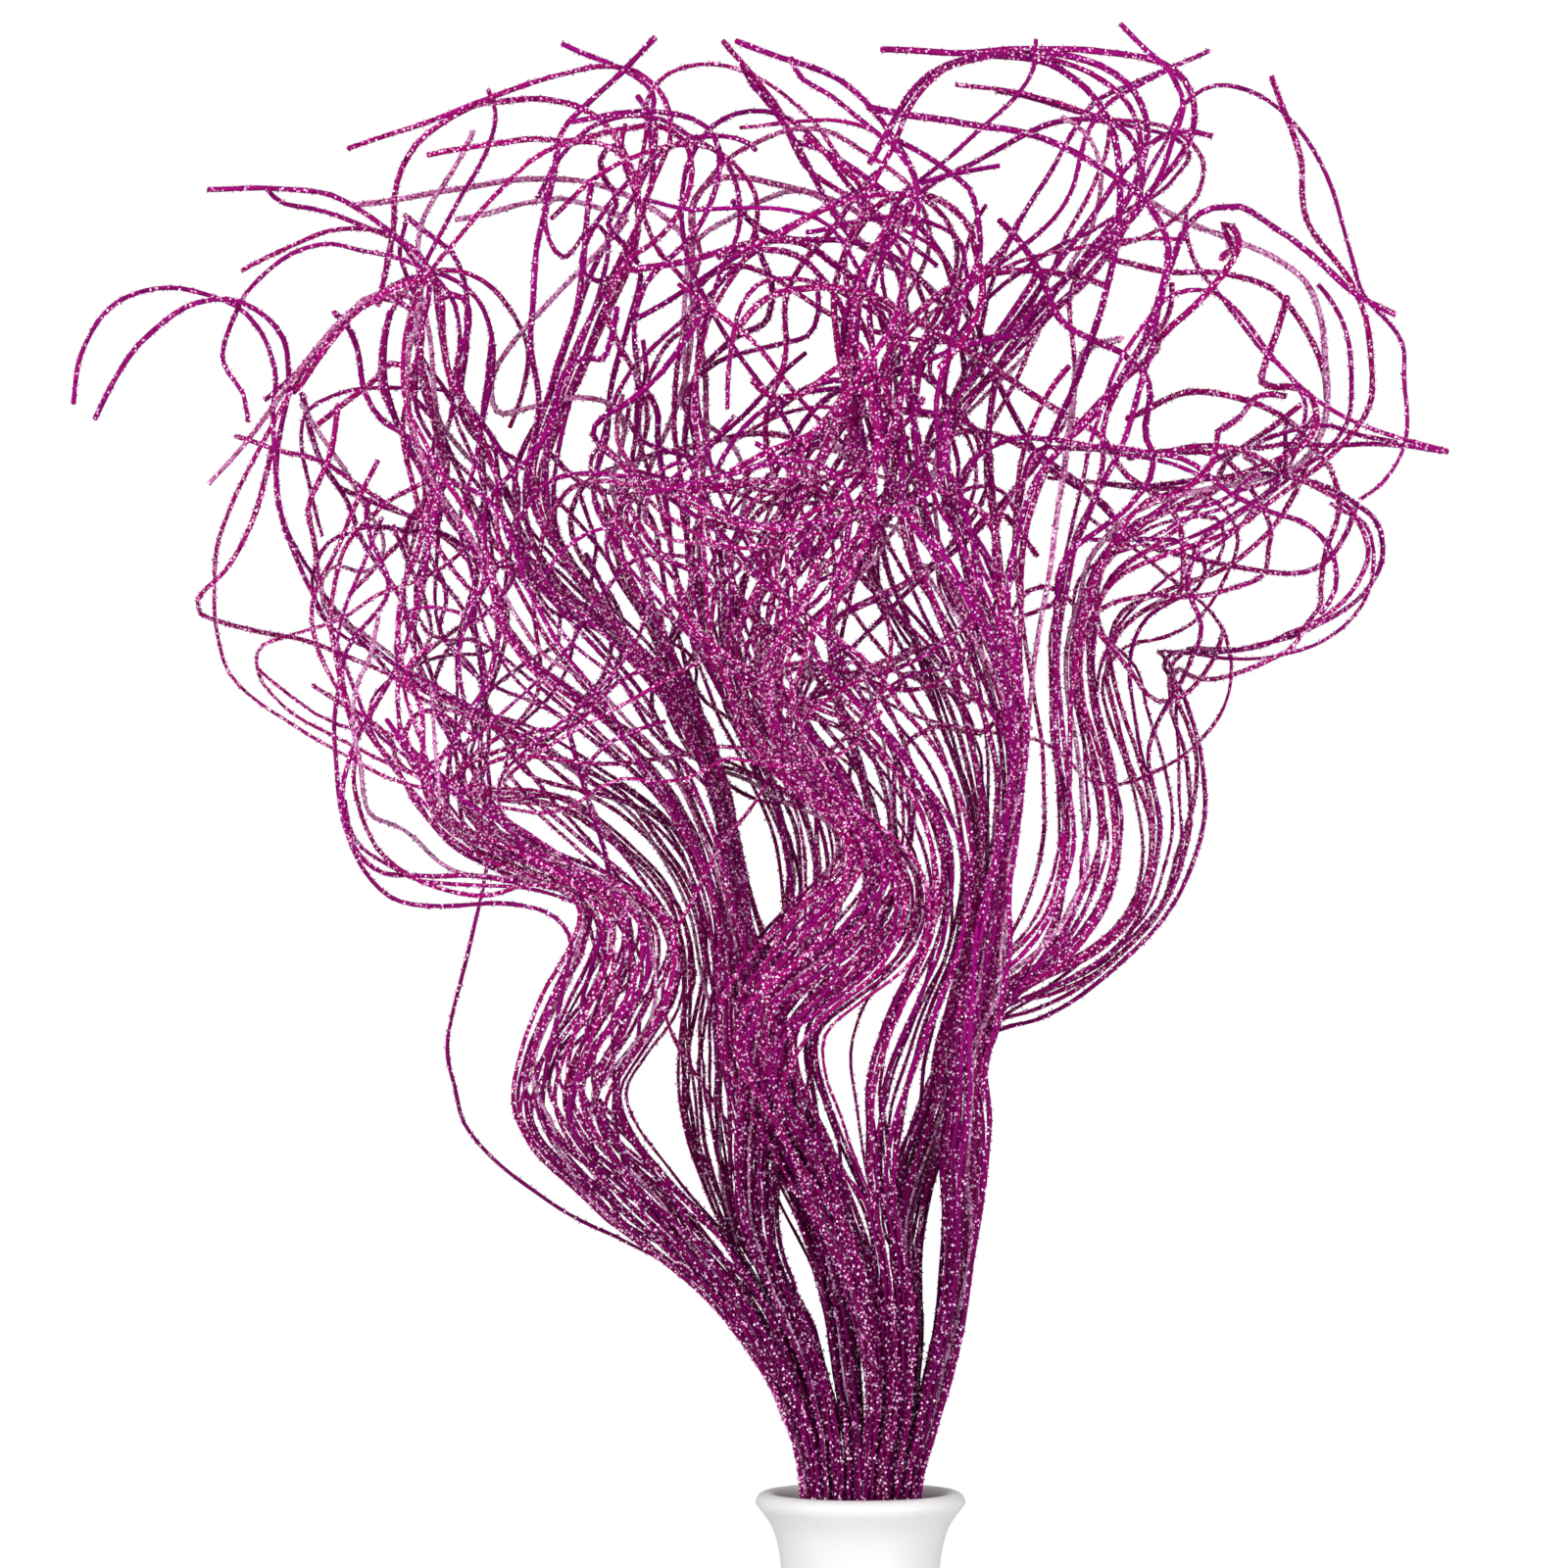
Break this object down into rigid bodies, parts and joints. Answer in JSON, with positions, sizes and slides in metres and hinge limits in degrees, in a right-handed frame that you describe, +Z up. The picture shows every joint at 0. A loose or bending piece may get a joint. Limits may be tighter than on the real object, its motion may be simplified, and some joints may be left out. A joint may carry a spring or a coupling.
{
  "type": "curly ting ting branches in a vase",
  "caption": "Bunches of long curly dried ting ting strands with a glittered finish, standing in a white ceramic vase with a narrow neck and rolled lip.",
  "frame": {"origin": "centre of the vase's flat foot", "axes": "+Z up, front of the arrangement towards -Y, the first bunch leans to -X"},
  "size_m": [0.4881, 0.3126, 0.696],
  "materials": {
    "glazed_ceramic": "smooth white satin glaze",
    "glittered_reed": "dyed magenta dried palm strip, coated with coarse silver and pink glitter",
    "twine": "natural twine band"
  },
  "bodies": {
    "root": {"vase": "glazed_ceramic", "left_tie": "twine", "right_tie": "twine", "left_low_curl_front": "glittered_reed", "left_low_curl_middle": "glittered_reed", "left_low_curl_back": "glittered_reed", "left_left_sweep": "glittered_reed", "left_centre_sweep": "glittered_reed", "left_right_curl": "glittered_reed", "left_right_straight": "glittered_reed", "left_right_inner": "glittered_reed", "left_middle_straight": "glittered_reed", "right_low_curl_front": "glittered_reed", "right_low_curl_middle": "glittered_reed", "right_low_curl_back": "glittered_reed", "right_left_sweep": "glittered_reed", "right_centre_sweep": "glittered_reed", "right_right_curl": "glittered_reed", "right_right_straight": "glittered_reed", "right_right_inner": "glittered_reed", "right_middle_straight": "glittered_reed"}
  },
  "joints": []
}
